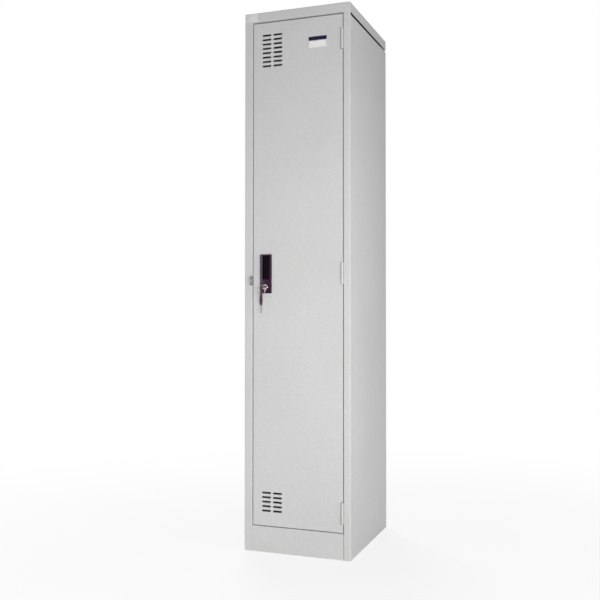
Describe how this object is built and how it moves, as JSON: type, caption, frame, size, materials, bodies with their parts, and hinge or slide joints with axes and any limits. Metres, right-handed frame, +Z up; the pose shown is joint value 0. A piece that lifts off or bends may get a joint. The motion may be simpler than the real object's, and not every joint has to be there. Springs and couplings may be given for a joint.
{
  "type": "locker cabinet",
  "caption": "Tall narrow steel clothes locker: an inset vented door hinged on the right, recessed pull with a cam lock and keys, padlock eye, hat shelf and garment rail inside.",
  "frame": {"origin": "centre of the cabinet's footprint, on the floor", "axes": "+Z up, the door faces -Y, +X to the right of a person facing the door"},
  "size_m": [0.378, 0.4835, 1.83],
  "materials": {
    "painted_steel": "fine-textured light grey powder coat",
    "chrome": "polished",
    "zinc_steel": "zinc plated",
    "key_steel": "nickel plated",
    "handle_plastic": "satin dark plum",
    "key_plastic": "satin dark plum",
    "socket_plastic": "satin grey",
    "rubber": "matte black",
    "badge_metal": "satin",
    "holder_plastic": "pale",
    "card": "coated card",
    "strip": "dark navy"
  },
  "bodies": {
    "carcass": {"left_front_upright": "painted_steel", "right_front_upright": "painted_steel", "left_side_panel": "painted_steel", "right_side_panel": "painted_steel", "left_rear_upright": "painted_steel", "right_rear_upright": "painted_steel", "left_cap_rail": "painted_steel", "right_cap_rail": "painted_steel", "back_panel": "painted_steel", "top_cap": "painted_steel", "base": "painted_steel", "hat_shelf": "painted_steel", "left_shelf_rail": "painted_steel", "right_shelf_rail": "painted_steel", "garment_rail": "chrome", "left_rail_socket": "socket_plastic", "right_rail_socket": "socket_plastic", "door_buffers": "rubber", "frame_padlock_lug": "zinc_steel", "badge_plate": "badge_metal", "badge_rivets": "zinc_steel", "upper_hinge_frame_half": "painted_steel", "middle_hinge_frame_half": "painted_steel", "lower_hinge_frame_half": "painted_steel", "upper_hinge_pin": "zinc_steel", "middle_hinge_pin": "zinc_steel", "lower_hinge_pin": "zinc_steel"},
    "door": {"door_panel": "painted_steel", "door_stiffener": "painted_steel", "door_padlock_lug": "zinc_steel", "card_holder": "holder_plastic", "name_card": "card", "header_strip": "strip", "handle_housing": "handle_plastic", "handle_straps": "zinc_steel", "handle_screws": "zinc_steel", "lock_barrel": "chrome", "lock_nut": "zinc_steel", "upper_hinge_door_half": "painted_steel", "middle_hinge_door_half": "painted_steel", "lower_hinge_door_half": "painted_steel"},
    "lock_core": {"lock_plug": "zinc_steel", "lock_cam": "zinc_steel", "cam_screw": "zinc_steel"},
    "key": {"key_blade": "key_steel", "key_bow": "key_plastic"},
    "key_ring": {"key_ring": "key_steel"},
    "spare_key": {"spare_key_blade": "key_steel", "spare_key_bow": "key_plastic"}
  },
  "joints": [
    {"name": "door_hinge", "type": "hinge", "parent": "carcass", "child": "door", "pos_m": [0.1606, -0.224, 0.9365], "axis": [0, 0, 1], "range_deg": [0, 140]},
    {"name": "lock_turn", "type": "hinge", "parent": "door", "child": "lock_core", "pos_m": [-0.11, -0.2345, 0.8925], "axis": [0, -1, 0], "range_deg": [0, 90]},
    {"name": "key_pull", "type": "slide", "parent": "lock_core", "child": "key", "axis": [0, -1, 0], "range_m": [0, 0.028]},
    {"name": "ring_swing", "type": "hinge", "parent": "key", "child": "key_ring", "pos_m": [-0.11875, -0.2475, 0.8925], "axis": [0, -1, 0], "range_deg": [-90, 0]},
    {"name": "spare_key_swing", "type": "hinge", "parent": "key_ring", "child": "spare_key", "pos_m": [-0.11875, -0.2475, 0.86703], "axis": [-1, 0, 0], "range_deg": [-12, 60]}
  ],
  "couplings": [
    {"joint": "ring_swing", "follows": "lock_turn", "ratio": -1}
  ]
}
